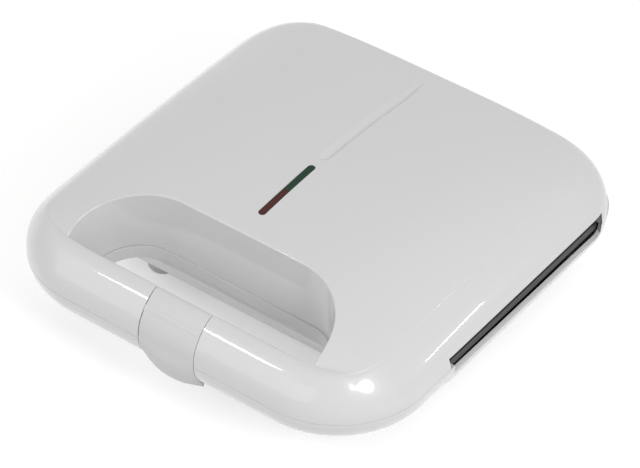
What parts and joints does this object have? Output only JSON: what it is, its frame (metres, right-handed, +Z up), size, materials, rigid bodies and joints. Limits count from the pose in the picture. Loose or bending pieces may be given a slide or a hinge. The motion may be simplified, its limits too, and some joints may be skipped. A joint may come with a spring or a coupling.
{
  "type": "sandwich toaster",
  "caption": "Countertop sandwich toaster with a hinged lid, cast pocket plates, a loop handle with a pivoting clip and signal lenses in the lid.",
  "frame": {"origin": "on the table, under the middle of the bounding box", "axes": "+X to the right, +Y from the handle to the hinge, +Z up"},
  "size_m": [0.23, 0.2364, 0.078],
  "materials": {
    "housing_white": "glossy moulded plastic, near white",
    "clip_white": "glossy moulded plastic, near white",
    "foot_white": "satin moulded plastic",
    "plate_grey": "cast, with a dark non-stick coating",
    "element_steel": "heat-tinted tube",
    "spring_steel": "pressed strip",
    "shield_steel": "bright sheet",
    "screw_steel": "zinc plated",
    "pin_steel": "ground rod",
    "block_plastic": "moulded",
    "fuse_ceramic": "unglazed",
    "gland_black": "moulded",
    "tag_brass": "plain",
    "wire_sleeve": "silicone sleeve",
    "thermostat_ceramic": "with a metal cap",
    "frame_black": "moulded",
    "lens_red": "tinted, clear when lit",
    "lens_green": "tinted, clear when lit",
    "holder_plastic": "moulded",
    "lamp_glass_orange": "small neon lamp",
    "lamp_glass_green": "small neon lamp",
    "resistor_paint": "painted"
  },
  "bodies": {
    "base": {"base_housing": "housing_white", "lower_plate": "plate_grey", "lower_element": "element_steel", "lower_element_clamps": "spring_steel", "lower_heat_shield": "shield_steel", "base_screws": "screw_steel", "front_left_foot": "foot_white", "front_right_foot": "foot_white", "rear_left_foot": "foot_white", "rear_right_foot": "foot_white", "terminal_block": "block_plastic", "thermal_fuse": "fuse_ceramic", "cord_gland": "gland_black", "earth_tag": "tag_brass", "base_wiring": "wire_sleeve", "left_hinge_pin": "pin_steel", "right_hinge_pin": "pin_steel"},
    "lid": {"lid_housing": "housing_white", "upper_plate": "plate_grey", "upper_element": "element_steel", "upper_element_clamps": "spring_steel", "upper_heat_shield": "shield_steel", "upper_plate_screws": "screw_steel", "thermostat": "thermostat_ceramic", "thermostat_screws": "screw_steel", "lens_frame": "frame_black", "red_lens": "lens_red", "green_lens": "lens_green", "lamp_holder": "holder_plastic", "power_lamp": "lamp_glass_orange", "ready_lamp": "lamp_glass_green", "lamp_resistors": "resistor_paint", "lid_wiring": "wire_sleeve", "latch_pin": "pin_steel"},
    "latch": {"latch": "clip_white"}
  },
  "joints": [
    {"name": "lid_hinge", "type": "hinge", "parent": "base", "child": "lid", "pos_m": [0, 0.11325, 0.04], "axis": [-1, 0, 0], "range_deg": [0, 100]},
    {"name": "latch_swing", "type": "hinge", "parent": "lid", "child": "latch", "pos_m": [0, -0.10925, 0.054], "axis": [-1, 0, 0], "range_deg": [0, 32]}
  ]
}
